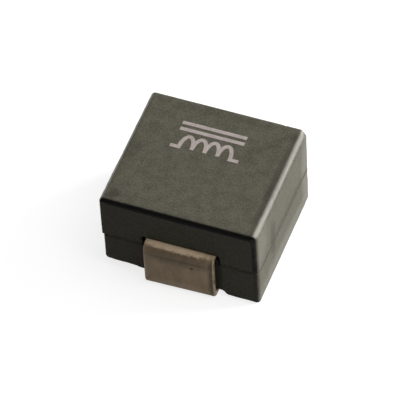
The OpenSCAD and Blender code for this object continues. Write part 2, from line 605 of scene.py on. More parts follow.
@dataclass(frozen=True)
class Outline:
    """A closed outline in X and Z with rounded corners, anticlockwise seen from -Y.

    Args:
        corners: The sharp corners in order.
        segments: Straight stretches that each side is cut into, side by side with corners.
        arc_segments: Chords in each corner's round.
        broad: Smallest radius that counts as a broad round.
        fade: How far into an end face the rim value fades out.
    """

    corners: tuple[Corner, ...]
    segments: tuple[int, ...]
    arc_segments: int = 6
    broad: float = 0.3 * MM
    fade: float = 0.15 * MM

    SIDE_STEP = 0.15 * MM
    LEAST_ROUND = 0.15
    HOLLOW_GROWTH = 0.5
    RIM_CREST = 0.1
    RIM_FALL = 0.85
    CORNER_SPAN = (0.1, 0.8)
    STRAIGHT = 1e-6
    NEARLY_STRAIGHT = 0.9

    @staticmethod
    def of(corners: list[Corner]) -> "Outline":
        """Makes an outline whose sides are cut into stretches of about one length.

        Args:
            corners: The sharp corners in order.

        Returns:
            The outline.
        """
        sides = zip(corners, corners[1:] + corners[:1])
        counts = (max(1, math.ceil(math.hypot(b.x - a.x, b.z - a.z) / Outline.SIDE_STEP)) for a, b in sides)
        return Outline(tuple(corners), tuple(counts))

    def ring(self, turn: float, margin: float = 0.0) -> Ring:
        """Samples the outline where the rounds of an end face have turned by an angle.

        Args:
            turn: 0 at the end face, a quarter turn where the sides start.
            margin: How much further inwards every side moves, in metres.

        Returns:
            The ring.
        """
        points = np.array([(c.x, c.z) for c in self.corners])
        end = np.array([c.end_radius for c in self.corners])
        inset = end * (1 - math.sin(turn)) + margin
        depth = end * (1 - math.cos(turn))
        weight = (1 - self.RIM_CREST + self.RIM_CREST * math.sin(2 * turn)) * max(0.0, 1 - margin / self.fade)
        end_rim = weight * (1 - self.RIM_FALL * (turn / QUARTER_TURN) ** 4) * (end >= self.broad)
        along = np.roll(points, -1, 0) - points
        along /= np.linalg.norm(along, axis=1)[:, None]
        before = np.roll(along, 1, 0)
        inward, inward_before = (np.stack([-way[:, 1], way[:, 0]], 1) for way in (along, before))
        moved = points + self._corner_shift(inward_before, inward, np.roll(inset, 1), inset)
        lengths = np.linalg.norm(np.roll(moved, -1, 0) - moved, axis=1)
        angle = np.arctan2(before[:, 0] * along[:, 1] - before[:, 1] * along[:, 0], (before * along).sum(1))
        mean_inset = (inset + np.roll(inset, 1)) / 2
        share = np.linspace(0, 1, self.arc_segments + 1)
        first, span = self.CORNER_SPAN
        arcs = []
        for i, corner in enumerate(self.corners):
            room = 0.5 * min(lengths[i - 1], lengths[i])
            arc = self._arc(corner.radius, angle[i], mean_inset[i], moved[i], before[i], inward_before[i], room)
            own = np.sin(math.pi * (first + span * share)) * min(1.0, abs(angle[i]))
            own *= float(angle[i] >= 0 and corner.radius >= self.broad)
            blended = end_rim[i - 1] * (1 - share) + end_rim[i] * share
            arcs.append((arc, depth[i - 1] * (1 - share) + depth[i] * share, np.maximum(own, blended)))
        rows, depths, rims = [], [], []
        for i, (arc, arc_depth, arc_rim) in enumerate(arcs):
            begin, finish = arc[-1], arcs[(i + 1) % len(arcs)][0][0]
            between = np.linspace(0, 1, self.segments[i] + 1)[1:-1, None]
            rows += [arc, begin + (finish - begin) * between]
            depths += [arc_depth, np.full(len(between), depth[i])]
            rims += [arc_rim, np.full(len(between), end_rim[i])]
        return Ring(np.concatenate(rows), np.concatenate(depths), np.concatenate(rims))

    def _arc(self, radius: float, angle: float, inset: float, corner: np.ndarray, way: np.ndarray,
             inward: np.ndarray, room: float) -> np.ndarray:
        """Samples the round of one corner.

        Args:
            radius: The round's radius before the corner moves inwards.
            angle: How far the outline turns there, negative at a hollow corner.
            inset: How far the corner has moved inwards.
            corner: Where it is now.
            way: Direction of the side before it.
            inward: Inward direction of that side.
            room: Most that the round may take of either side.

        Returns:
            The arc's points.
        """
        convex = angle >= 0
        if convex:
            radius = max(radius - inset, self.LEAST_ROUND * radius)
        else:
            radius += self.HOLLOW_GROWTH * inset
        half = abs(math.tan(angle / 2))
        tangent = min(radius * half, room)
        start = corner - way * tangent
        if half <= self.STRAIGHT:
            return np.repeat(start[None], self.arc_segments + 1, 0)
        radius = tangent / half
        centre = start + inward * radius * (1.0 if convex else -1.0)
        angles = math.atan2(*(start - centre)[::-1]) + angle * np.linspace(0, 1, self.arc_segments + 1)
        return centre + radius * np.stack([np.cos(angles), np.sin(angles)], 1)

    @staticmethod
    def _corner_shift(n0: np.ndarray, n1: np.ndarray, a: np.ndarray, b: np.ndarray) -> np.ndarray:
        """Finds how far each corner moves when its two sides move inwards.

        Args:
            n0: Inward direction of the side before each corner.
            n1: Inward direction of the side after it.
            a: How far the side before moves.
            b: How far the side after moves.

        Returns:
            The shift of each corner.
        """
        c = (n0 * n1).sum(1)
        same = ((a + b) / 2 / (1 + c))[:, None] * (n0 + n1)
        spread = np.maximum(1 - c * c, 1e-9)
        own = ((a - b * c) / spread)[:, None] * n0 + ((b - a * c) / spread)[:, None] * n1
        return np.where((np.abs(c) > Outline.NEARLY_STRAIGHT)[:, None], same, own)


def lattice_noise(points: np.ndarray, cell: float, seed: int) -> np.ndarray:
    """Smooth noise from a seeded lattice of random values.

    Args:
        points: Places, one row each, in metres.
        cell: Size of a lattice cell, in metres.
        seed: Seed of the lattice.

    Returns:
        One value for each point, -1 to 1.
    """
    scaled = (points - points.min(0)) / cell
    base = np.floor(scaled).astype(int)
    part = scaled - base
    part = part * part * (3 - 2 * part)
    table = np.random.default_rng(seed).uniform(-1, 1, base.max(0) + 2)
    total = np.zeros(len(points))
    for step in np.ndindex(2, 2, 2):
        weight = np.prod(np.abs(1 - np.array(step) - part), axis=1)
        total += weight * table[tuple((base + step).T)]
    return total


@dataclass(frozen=True)
class Chipping:
    """Small bites out of a block's edges, as pressed ferrite gets in handling.

    Args:
        seed: Seed of the bites' places and sizes.
        per_mm: Bites for each millimetre of edge.
        smallest: Radius of the smallest bite, in metres.
        largest: Radius of the largest bite, in metres.
        stray: How far a bite's centre strays from the edge, in metres.
        depth: Depth of a bite as a share of its radius.
    """

    seed: int
    per_mm: float = 0.5
    smallest: float = 0.07 * MM
    largest: float = 0.17 * MM
    stray: float = 0.03 * MM
    depth: float = 0.55

    def bites(self, edges: list[Edge]) -> list[Bite]:
        """Places the bites.

        Args:
            edges: Start and end of each edge.

        Returns:
            The centre and radius of each bite.
        """
        rng = np.random.default_rng(self.seed)
        made = []
        for start, end in edges:
            a, b = np.array(Vector(start)), np.array(Vector(end))
            for _ in range(rng.poisson(self.per_mm * np.linalg.norm(b - a) / MM)):
                size = self.smallest + (self.largest - self.smallest) * rng.random() ** 3
                made.append((a + (b - a) * rng.random() + rng.normal(0, self.stray, 3), size))
        return made

    def apply(self, points: np.ndarray, normals: np.ndarray, bites: list[Bite]) -> np.ndarray:
        """Pushes the points inside each bite into the block.

        Args:
            points: The mesh's points, one row each.
            normals: Their outward directions.
            bites: Centres and radii.

        Returns:
            The moved points.
        """
        moved = points.copy()
        for centre, size in bites:
            away = np.linalg.norm(points - centre, axis=1) / size
            near = away < 1
            moved[near] -= normals[near] * (self.depth * size * (1 - away[near] ** 2))[:, None]
        return moved


@dataclass
class Block:
    """A ferrite half as a stack of outlines along Y, with both end faces rounded into its sides.

    Args:
        name: The piece's name.
        y_low: The front end face.
        y_high: The back end face.
        outline_at: Gives the outline at a Y.
        stops: Ys that need a ring of their own.
        step: Longest stretch between rings.
        round_segments: Chords in the rounds of the end faces.
        cap_step: Spacing of the points inside an end face.
        cap_clear: Their least distance from its border, as a share of the spacing.
        plan_radii: Whether a corner of the plan is right and back, and its radius.
        face_margins: How far inside an end face its extra rings lie.
        left_glint: Strength of the painted highlight on the left rims.
        shade_share: Strength of the painted shade on the front rims.
        flat_rim: Smallest rim value that is kept on the sides.
        wave_cell: Size of the waves of the ground faces.
        wave_depth: Depth of those waves.
        rim_cell: Size of the unevenness of the rims.
        rim_depth: Depth of that unevenness.
    """

    name: str
    y_low: float
    y_high: float
    outline_at: Callable[[float], Outline]
    stops: tuple[float, ...] = ()
    step: float = 0.14 * MM
    round_segments: int = 7
    cap_step: float = 0.22 * MM
    cap_clear: float = 0.6
    plan_radii: tuple[tuple[bool, bool, float], ...] = (
        (False, False, 0.2 * MM), (True, False, 0.38 * MM), (False, True, 0.2 * MM), (True, True, 0.45 * MM))
    face_margins: tuple[float, ...] = (0.16 * MM, 0.05 * MM)
    left_glint: float = 1.4
    shade_share: float = 1.0
    flat_rim: float = 0.2
    wave_cell: float = 1.1 * MM
    wave_depth: float = 0.004 * MM
    rim_cell: float = 0.45 * MM
    rim_depth: float = 0.02 * MM

    INSIDE_ONLY, SAME_POINT = 1, 1e-7
    # Where the painted highlight and the painted shade lie on the rims, by the lean of their normals, and how strong
    # they are.
    CREST_LEANS, CREST_GLINTS = (0, 10, 20, 42, 62), (0.8, 1.2, 1, 0.25, 0)
    CREST_REACH, CREST_GAIN = 0.41 * MM, 3
    LEFT_LEANS, LEFT_START, LEFT_FADE = (5, 30), 0.3, 0.2
    SHADE_START, SHADE_FADE = (0.26, 0.36), (0.38, -0.2)
    LEFT_FLAT_START, LEFT_FLAT_FADE = 0.4 * MM, 0.3 * MM
    LEFT_TOP_START, LEFT_TOP_FADE = 0.08 * MM, 0.1 * MM
    UPWARD = 0.3

    def rings(self) -> tuple[list[np.ndarray], list[np.ndarray]]:
        """Samples the rings from front to back.

        Returns:
            The points and the rim weights of each ring.
        """
        turns = [(0.0, m) for m in self.face_margins]
        turns += [(t, 0.0) for t in np.linspace(0, QUARTER_TURN, self.round_segments + 1)]
        points, rims = [], []

        def add(y: float, ring: Ring, way: float) -> None:
            """Keeps one ring whose points lie behind or before a Y."""
            points.append(np.column_stack([ring.across[:, 0], y + way * ring.depth, ring.across[:, 1]]))
            rims.append(ring.rim)

        front, back = self.outline_at(self.y_low), self.outline_at(self.y_high)
        for turn, margin in turns:
            add(self.y_low, front.ring(turn, margin), 1.0)
        low = self.y_low + max(c.end_radius for c in front.corners)
        high = self.y_high - max(c.end_radius for c in back.corners)
        inner = np.linspace(low, high, math.ceil((high - low) / self.step) + 1)[1:-1]
        for y in sorted({*inner, *(s for s in self.stops if low < s < high)}):
            flat = self.outline_at(y).ring(QUARTER_TURN)
            rim = np.where(flat.rim > self.flat_rim, flat.rim, 0)
            add(y, Ring(flat.across, np.zeros(len(rim)), rim), 1.0)
        for turn, margin in reversed(turns):
            add(self.y_high, back.ring(turn, margin), -1.0)
        return points, rims

    def cap(self, border: np.ndarray) -> tuple[np.ndarray, list[tuple[int, ...]]]:
        """Fills an end face with even triangles.

        Args:
            border: X and Z of the points round the face, in order.

        Returns:
            The points added inside, and the faces, whose numbers go on from the border's.
        """
        step, count = self.cap_step, len(border)
        xs, zs = (np.arange(a + step, b, step) for a, b in zip(border.min(0), border.max(0)))
        grid = np.array([(x, z) for x in xs for z in zs])
        grid = grid[np.min(np.linalg.norm(grid[:, None] - border[None], axis=2), axis=1) > self.cap_clear * step]
        given = [Vector(p) / MM for p in np.concatenate([border, grid])]
        loop = [(i, (i + 1) % count) for i in range(count)]
        _, _, faces, sources, _, _ = delaunay_2d_cdt(given, loop, [], self.INSIDE_ONLY, self.SAME_POINT)
        number = [min(s) for s in sources]
        used = sorted({number[i] for face in faces for i in face if number[i] >= count})
        renumber = {old: count + new for new, old in enumerate(used)}
        kept = [tuple(renumber.get(number[i], number[i]) for i in face) for face in faces]
        return np.array([grid[old - count] for old in used]), kept

    def plan_rounded(self, points: np.ndarray) -> np.ndarray:
        """Keeps every point inside the block's rounded plan, also where small rounds meet the corners.

        Args:
            points: The mesh's points, one row each.

        Returns:
            The points.
        """
        made = points.copy()
        low, high = points[:, :2].min(0), points[:, :2].max(0)
        middle = (low + high) / 2
        for right, back, radius in self.plan_radii:
            corner = np.where((right, back), high, low)
            centre = corner + radius * np.sign(middle - corner)
            away = points[:, :2] - centre
            length = np.linalg.norm(away, axis=1)
            outside = np.all(away * (corner - centre) > 0, axis=1) & (length > radius)
            made[outside, :2] = centre + away[outside] * (radius / length[outside])[:, None]
        return made

    def build(self, chipping: Chipping, edges: list[Edge], big_bites: tuple[Bite, ...] = ()) -> Piece:
        """Builds the block's mesh.

        Args:
            chipping: The small bites out of its edges.
            edges: Start and end of each edge that gets bites.
            big_bites: Further bites at chosen places.

        Returns:
            The finished object, at the origin.
        """
        points, rims = self.rings()
        count = len(points[0])
        faces = []
        for r in range(len(points) - 1):
            for i in range(count):
                j = (i + 1) % count
                faces.append((r * count + i, r * count + j, (r + 1) * count + j, (r + 1) * count + i))
        total = count * len(points)
        for shift, y in ((0, self.y_low), (total - count, self.y_high)):
            inner, cap = self.cap(points[shift // count][:, [0, 2]])
            faces += [tuple(shift + i if i < count else total + i - count for i in face) for face in cap]
            points.append(np.column_stack([inner[:, 0], np.full(len(inner), y), inner[:, 1]]))
            rims.append(np.zeros(len(inner)))
            total += len(inner)
        made = mesh_object(self.name, self.plan_rounded(np.concatenate(points)), faces)
        normals = point_values(made, "normal")
        moved, rim, seed = point_values(made, "position"), np.concatenate(rims), chipping.seed
        moved += normals * (lattice_noise(moved, self.wave_cell, seed) * self.wave_depth)[:, None]
        moved += normals * (rim * lattice_noise(moved, self.rim_cell, seed + 1) * self.rim_depth)[:, None]
        moved = chipping.apply(moved, normals, [*chipping.bites(edges), *big_bites])
        set_points(made, moved)
        add_point_values(made, RIM, rim)
        # Painted highlight and painted shade on the rims, for the ferrite material.
        add_point_values(made, GLINT, self.glints(moved, normals, rim))
        add_point_values(made, SHADE, rim * self.shades(moved, normals) * self.shade_share)
        return made

    def glints(self, points: np.ndarray, normals: np.ndarray, rim: np.ndarray) -> np.ndarray:
        """Finds the painted highlight on the rims: most on the upper right one, less on the left ones.

        Args:
            points: The mesh's points, one row each.
            normals: The mesh's normals, one row each.
            rim: The mesh's rim values.

        Returns:
            One value for each point.
        """
        lean = np.degrees(np.arctan2(normals[:, 0], normals[:, 2]))
        right = np.interp(lean, self.CREST_LEANS, self.CREST_GLINTS) * np.clip(self.CREST_GAIN * rim, 0, 1)
        right *= points[:, 0] > points[:, 0].max() - self.CREST_REACH
        left = np.interp(-lean, self.LEFT_LEANS, (0, 1))
        left *= np.clip((-self.LEFT_START - normals[:, 0]) / self.LEFT_FADE, 0, 1)
        return right + self.left_glint * left * rim

    def shades(self, points: np.ndarray, normals: np.ndarray) -> np.ndarray:
        """Finds the painted shade on the front rims: all of the upper one, and the front half of the right one.

        Args:
            points: The mesh's points, one row each.
            normals: The mesh's normals, one row each.

        Returns:
            One value for each point, 0 to 1.
        """
        across = normals[:, 0] ** 2 / (normals[:, 0] ** 2 + normals[:, 2] ** 2 + 1e-6)
        start, fade = (on_top + change * across for on_top, change in (self.SHADE_START, self.SHADE_FADE))
        front = np.clip((-normals[:, 1] - start) / fade, 0, 1)
        from_left = points[:, 0] - points[:, 0].min()
        flat = np.clip((from_left - self.LEFT_FLAT_START) / self.LEFT_FLAT_FADE, 0, 1)
        upper = np.clip((from_left - self.LEFT_TOP_START) / self.LEFT_TOP_FADE, 0, 1)
        upper *= np.clip(normals[:, 2] / self.UPWARD, 0, 1)
        return front * np.maximum(flat, upper)


def linked(name: str, data: bpy.types.ID) -> Piece:
    """Makes an object and links it to the scene.

    Args:
        name: The object's name.
        data: Its mesh, lamp or camera data.

    Returns:
        The new object.
    """
    made = bpy.data.objects.new(name, data)
    bpy.context.scene.collection.objects.link(made)
    return made


def close_and_orient(mesh: bpy.types.Mesh, seam: float | None = None) -> None:
    """Turns every face outwards, and first merges doubled points if a seam is given.

    Args:
        mesh: The mesh to clean.
        seam: Distance under which two points are one, in metres.
    """
    work = bmesh.new()
    work.from_mesh(mesh)
    if seam is not None:
        bmesh.ops.remove_doubles(work, verts=work.verts, dist=seam)
    bmesh.ops.recalc_face_normals(work, faces=work.faces)
    work.to_mesh(mesh)
    work.free()


def mesh_object(name: str, points: np.ndarray, faces: list[tuple[int, ...]]) -> Piece:
    """Makes a smooth-shaded object with its faces pointing outwards.

    Args:
        name: The object's name.
        points: Its vertices, one row each, in metres.
        faces: Vertex numbers of each face.

    Returns:
        The new object, linked to the scene.
    """
    mesh = bpy.data.meshes.new(name)
    mesh.from_pydata([tuple(p) for p in points], [], faces)
    close_and_orient(mesh)
    mesh.shade_smooth()
    return linked(name, mesh)


def point_values(made: Piece, name: str) -> np.ndarray:
    """Reads an object's vertices.

    Args:
        made: The object.
        name: "position" or "normal".

    Returns:
        One row of X, Y and Z for each vertex.
    """
    rows, key = {"position": (made.data.vertices, "co"), "normal": (made.data.vertex_normals, "vector")}[name]
    flat = np.zeros(len(rows) * 3)
    rows.foreach_get(key, flat)
    return flat.reshape(-1, 3)


def set_points(made: Piece, points: np.ndarray) -> None:
    """Writes an object's vertices from rows of X, Y and Z."""
    made.data.vertices.foreach_set("co", points.ravel())
    made.data.update()


def add_point_values(made: Piece, name: str, values: np.ndarray) -> None:
    """Stores one value for each vertex of an object under a name."""
    layer = made.data.attributes.new(name, "FLOAT", "POINT")
    layer.data.foreach_set("value", values.astype(np.float32))


def finish_piece(made: Piece) -> Piece:
    """Puts a piece on the root body.

    Args:
        made: The finished piece.

    Returns:
        The same piece.
    """
    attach(made, ROOT)
    log.info("%s: %d triangles", made.name, sum(len(p.vertices) - 2 for p in made.data.polygons))
    return made


# ---------------------------------------------------------------- geometry node pieces


class PathShape(Enum):
    """The section that a swept path gets."""

    STRIP = "strip"
    BEAD = "bead"


class GeometryTree:
    """A geometry tree with one named input for each size, and the piece that it makes."""

    def __init__(self, name: str, sizes: dict[str, float]) -> None:
        """Makes the empty tree.

        Args:
            name: The tree's name.
            sizes: Value of each named input.
        """
        inputs = {"Geometry": (GEOMETRY, None)}
        inputs |= {k: (INTEGER if isinstance(v, int) else FLOAT, v) for k, v in sizes.items()}
        self.sizes = sizes
        self.nodes, self.given, self.out = new_group(name, "GeometryNodeTree", inputs, {"Geometry": GEOMETRY})

    def finish(self, mesh: Socket, material: Material, smooth: bool) -> None:
        """Ends the tree.

        Args:
            mesh: The mesh that it has made.
            material: The material that the mesh gets.
            smooth: Whether it is shaded smooth.
        """
        n = self.nodes
        shaded = n.add("GeometryNodeSetShadeSmooth", {0: mesh, "Shade Smooth": smooth}).outputs[0]
        real = n.add("GeometryNodeRealizeInstances", {0: shaded}).outputs[0]
        n.feed(self.out, "Geometry", n.add("GeometryNodeSetMaterial", {0: real, "Material": material}).outputs[0])

    def run(self, name: str, path: list[Point]) -> Piece:
        """Runs the tree on a path of bare edges and keeps the result as a plain mesh.

        Args:
            name: The piece's name.
            path: The path's corners, in metres.

        Returns:
            The piece, with its finished mesh and no modifier.
        """
        mesh = bpy.data.meshes.new(name)
        mesh.from_pydata(path, [(i, i + 1) for i in range(len(path) - 1)], [])
        made = linked(name, mesh)
        modifier = made.modifiers.new(name, "NODES")
        modifier.node_group = self.nodes.tree
        for item in self.nodes.tree.interface.items_tree:
            if item.item_type == "SOCKET" and item.in_out == "INPUT" and item.name in self.sizes:
                modifier[item.identifier] = self.sizes[item.name]
        depsgraph = bpy.context.evaluated_depsgraph_get()
        finished = bpy.data.meshes.new_from_object(made.evaluated_get(depsgraph), depsgraph=depsgraph)
        finished.name = made.name
        made.modifiers.clear()
        made.data = finished
        return made


class SweepTree(GeometryTree):
    """Sweeps a section along a path of bare edges."""

    BEND_POINTS = 10
    BEAD_POINTS = 10
    EDGE_POINTS = 4
    LEAN_FADE = 0.6 * MM

    def __init__(self, name: str, shape: PathShape, material: Material, sizes: dict[str, float]) -> None:
        """Builds the tree.

        Args:
            name: The tree's name.
            shape: Flat strip with rounded edges, or round bead of uneven thickness.
            material: The material that the swept mesh gets.
            sizes: Value of each named input.
        """
        super().__init__(name, sizes)
        n, get = self.nodes, self.given
        curve = n.add("GeometryNodeMeshToCurve", {0: get["Geometry"]}).outputs[0]
        bends = {"Curve": curve, "Count": self.BEND_POINTS, "Radius": get["Bend Radius"]}
        bent = n.add("GeometryNodeFilletCurve", bends, mode="POLY").outputs[0]
        path = n.add("GeometryNodeResampleCurve", {"Curve": bent, "Length": get["Step"]}, mode="LENGTH").outputs[0]
        position = n.add("GeometryNodeInputPosition").outputs[0]
        noise = n.noise(position, get["Noise Cell"], 2.0)
        if shape is PathShape.BEAD:
            centred = n.math("SUBTRACT", noise.outputs[0], 0.5)
            radius = n.math("ADD", n.math("MULTIPLY", centred, get["Uneven"]), 1.0)
            path = n.add("GeometryNodeSetCurveRadius", {"Curve": path, "Radius": radius}).outputs[0]
            circle = n.add("GeometryNodeCurvePrimitiveCircle", {"Resolution": self.BEAD_POINTS}).outputs[0]
            sized = n.point(X=get["Width"], Y=get["Thickness"], Z=1.0)
            section = n.add("GeometryNodeTransform", {0: circle, "Scale": sized}).outputs[0]
        else:
            box = {"Width": get["Width"], "Height": get["Thickness"]}
            section = n.add("GeometryNodeCurvePrimitiveQuadrilateral", box).outputs[0]
            edges = {"Curve": section, "Count": self.EDGE_POINTS, "Radius": get["Edge Radius"]}
            section = n.add("GeometryNodeFilletCurve", edges, mode="POLY").outputs[0]
            radius = 1.0
        sweep = {"Curve": path, "Profile Curve": section, "Scale": radius, "Fill Caps": True}
        mesh = n.add("GeometryNodeCurveToMesh", sweep).outputs[0]
        if shape is PathShape.STRIP:
            offset = self._strip_offset(position, noise.outputs[1])
            mesh = n.add("GeometryNodeSetPosition", {0: mesh, "Offset": offset}).outputs[0]
        self.finish(mesh, material, smooth=True)

    def _strip_offset(self, position: Socket, noise: Socket) -> Socket:
        """Wires the small unevenness and the lean of the folded strip.

        Args:
            position: The point's place.
            noise: The noise's colour.

        Returns:
            The offset's socket.
        """
        n, get = self.nodes, self.given
        split = n.add("ShaderNodeSeparateXYZ", {0: position})
        lean_end = n.math("SUBTRACT", get["Lean Start"], self.LEAN_FADE)
        outside = n.ramp(split.outputs[1], get["Lean Start"], lean_end)
        across = n.math("SUBTRACT", split.outputs[0], get["Lean Centre"])
        lean = n.math("MULTIPLY", n.math("MULTIPLY", across, get["Lean"]), outside)
        centred = n.vector("SUBTRACT", noise, (0.5, 0.5, 0.5))
        ripple = n.add("ShaderNodeVectorMath", {0: centred, "Scale": get["Uneven"]}, operation="SCALE").outputs[0]
        return n.vector("ADD", n.point(Y=lean), ripple)


# ---------------------------------------------------------------- the inductor's pieces


@dataclass
class UpperCore:
    """The upper ferrite half, with the slot that the strip passes through."""

    rim_radius: float = 0.38 * MM
    joint_radius: float = 0.1 * MM
    slot_side_gap: float = 0.32 * MM
    slot_top_gap: float = 0.05 * MM
    slot_corner_radius: float = 0.15 * MM
    mouth_radius: float = 0.06 * MM
    slot_end_radius: float = 0.05 * MM
    left_end_radius: float = 0.2 * MM
    back_right_radius: float = 0.45 * MM
    back_top_radius: float = 0.25 * MM
    chip_inset: float = 0.12 * MM
    knock_inset: float = 0.05 * MM
    knock_radius: float = 0.42 * MM
    chipping: Chipping = field(default_factory=lambda: Chipping(seed=11))

    def outline(self, y: float) -> Outline:
        """Draws the half's section across the strip.

        Args:
            y: Where the section lies; the back end has rounds of its own.

        Returns:
            The outline.
        """
        low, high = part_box("upper_core")
        strip_low, strip_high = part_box("conductor")
        left, right = strip_low.x - self.slot_side_gap, strip_high.x + self.slot_side_gap
        roof = strip_high.z + self.slot_top_gap
        rim, joint, slot = self.rim_radius, self.joint_radius, self.slot_end_radius
        right_end, top_end = (self.back_right_radius, self.back_top_radius) if y > 0 else (rim, rim)
        return Outline.of([
            Corner(low.x, low.z, joint, joint),
            Corner(left, low.z, self.mouth_radius, slot),
            Corner(left, roof, self.slot_corner_radius, slot),
            Corner(right, roof, self.slot_corner_radius, slot),
            Corner(right, low.z, self.mouth_radius, joint),
            Corner(high.x, low.z, joint, right_end),
            Corner(high.x, high.z, rim, top_end),
            Corner(low.x, high.z, rim, self.left_end_radius),
        ])

    def build(self, material: Material) -> Piece:
        """Builds and dresses the half.

        Args:
            material: Its ferrite finish.

        Returns:
            The finished object.
        """
        low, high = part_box("upper_core")
        inset = self.chip_inset
        x0, x1, y0, y1, z1 = low.x + inset, high.x - inset, low.y + inset, high.y - inset, high.z - inset
        edges = [((x0, y, z1), (x1, y, z1)) for y in (y0, y1)]
        edges += [((x, y0, z1), (x, y1, z1)) for x in (x0, x1)]
        edges += [((x, y, low.z), (x, y, z1)) for y in (y0, y1) for x in (x0, x1)]
        edges += [((x, y0, low.z), (x, y1, low.z)) for x in (low.x, high.x)]
        knock = (np.array(high) - self.knock_inset, self.knock_radius)
        made = Block("upper_core_body", low.y, high.y, self.outline).build(self.chipping, edges, (knock,))
        made.data.materials.append(material)
        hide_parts("upper_core")
        return finish_piece(made)


@dataclass
class LowerCore:
    """The lower ferrite half, with the strip's land on top and two feet beside the underside channel."""

    rim_radius: float = 0.38 * MM
    foot_radius: float = 0.42 * MM
    joint_radius: float = 0.1 * MM
    land_gap: float = 0.22 * MM
    land_corner_radius: float = 0.05 * MM
    channel_end_radius: float = 0.12 * MM
    pad_clear: float = 0.14 * MM
    strip_thickness: float = 0.5 * MM
    flank_gap: float = 0.2 * MM
    flank_width: float = 1.0 * MM
    notch_length: float = 0.8 * MM
    notch_round: float = 0.16 * MM
    notch_rings: int = 9
    notch_share: float = 0.995
    notch_above_roof: float = 0.1 * MM
    right_foot_radius: float = 0.3 * MM
    left_end_radius: float = 0.2 * MM
    back_right_radius: float = 0.45 * MM
    chip_inset: float = 0.1 * MM
    # Weaker painted highlight on the left rims and lighter painted shade on the front rims than on the upper half.
    left_glint: float = 1.0
    shade_share: float = 0.35
    chipping: Chipping = field(default_factory=lambda: Chipping(seed=23))

    def outline(self, notch: float, back: bool = False) -> Outline:
        """Draws the half's section across the strip.

        Args:
            notch: How far the left foot is cut back past the channel's roof, 0 to 1.
            back: Whether the section has the back end's rounds.

        Returns:
            The outline.
        """
        low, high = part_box("lower_core")
        strip_low, strip_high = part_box("conductor")
        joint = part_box("left_bond")[0].z
        roof = self.strip_thickness + self.pad_clear
        rise = roof - low.z
        flank_radius = ((self.flank_width / 2) ** 2 + (rise / 2) ** 2) / rise
        tangent = flank_radius * math.tan(math.asin(self.flank_width / 2 / flank_radius) / 2)
        left, right = strip_low.x - self.flank_gap, strip_high.x + self.flank_gap
        left_foot = low.z + (rise + self.notch_above_roof) * notch
        left_roof = roof + self.notch_above_roof * notch
        right_end = self.back_right_radius if back else self.rim_radius
        land_left, land_right = strip_low.x - self.land_gap, strip_high.x + self.land_gap
        rim, foot, seam = self.rim_radius, self.foot_radius, self.joint_radius
        land, channel = self.land_corner_radius, self.channel_end_radius
        return Outline.of([
            Corner(low.x, left_foot, foot, rim),
            Corner(left - self.flank_width + tangent, left_foot, flank_radius, channel),
            Corner(left - tangent, left_roof, flank_radius, channel),
            Corner(right + tangent, roof, flank_radius, channel),
            Corner(right + self.flank_width - tangent, low.z, flank_radius, rim),
            Corner(high.x, low.z, self.right_foot_radius, right_end),
            Corner(high.x, joint, seam, seam),
            Corner(land_right, joint, land, land),
            Corner(land_right, high.z, land, land),
            Corner(land_left, high.z, land, land),
            Corner(land_left, joint, land, seam),
            Corner(low.x, joint, seam, self.left_end_radius),
        ])

    def build(self, material: Material) -> Piece:
        """Builds and dresses the half.

        Args:
            material: Its ferrite finish.

        Returns:
            The finished object.
        """
        low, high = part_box("lower_core")
        notch_end = low.y + self.notch_length
        template = self.outline(0.0)

        def outline_at(y: float) -> Outline:
            """Draws the outline at one place, with the same number of points everywhere.

            Args:
                y: The place.

            Returns:
                The outline.
            """
            t = min(1.0, max(0.0, (notch_end - y) / self.notch_round))
            notched = self.outline(self.notch_share * t * t * (3 - 2 * t), y > 0)
            return Outline(notched.corners, template.segments)

        stops = tuple(np.linspace(notch_end - self.notch_round, notch_end, self.notch_rings))
        block = Block("lower_core_body", low.y, high.y, outline_at, stops,
                      left_glint=self.left_glint, shade_share=self.shade_share)
        joint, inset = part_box("left_bond")[0].z, self.chip_inset
        x0, x1, y0, y1, z0 = low.x + inset, high.x - inset, low.y + inset, high.y - inset, low.z + inset
        edges = [((x, y, z0), (x, y, joint)) for y in (y0, y1) for x in (x0, x1)]
        edges += [((x, y0, z0), (x, y1, z0)) for x in (x0, x1)]
        edges += [((x, y0, joint), (x, y1, joint)) for x in (low.x, high.x)]
        edges += [((x0, y, joint), (x1, y, joint)) for y in (low.y, high.y)]
        made = block.build(self.chipping, edges)
        made.data.materials.append(material)
        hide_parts("lower_core")
        return finish_piece(made)


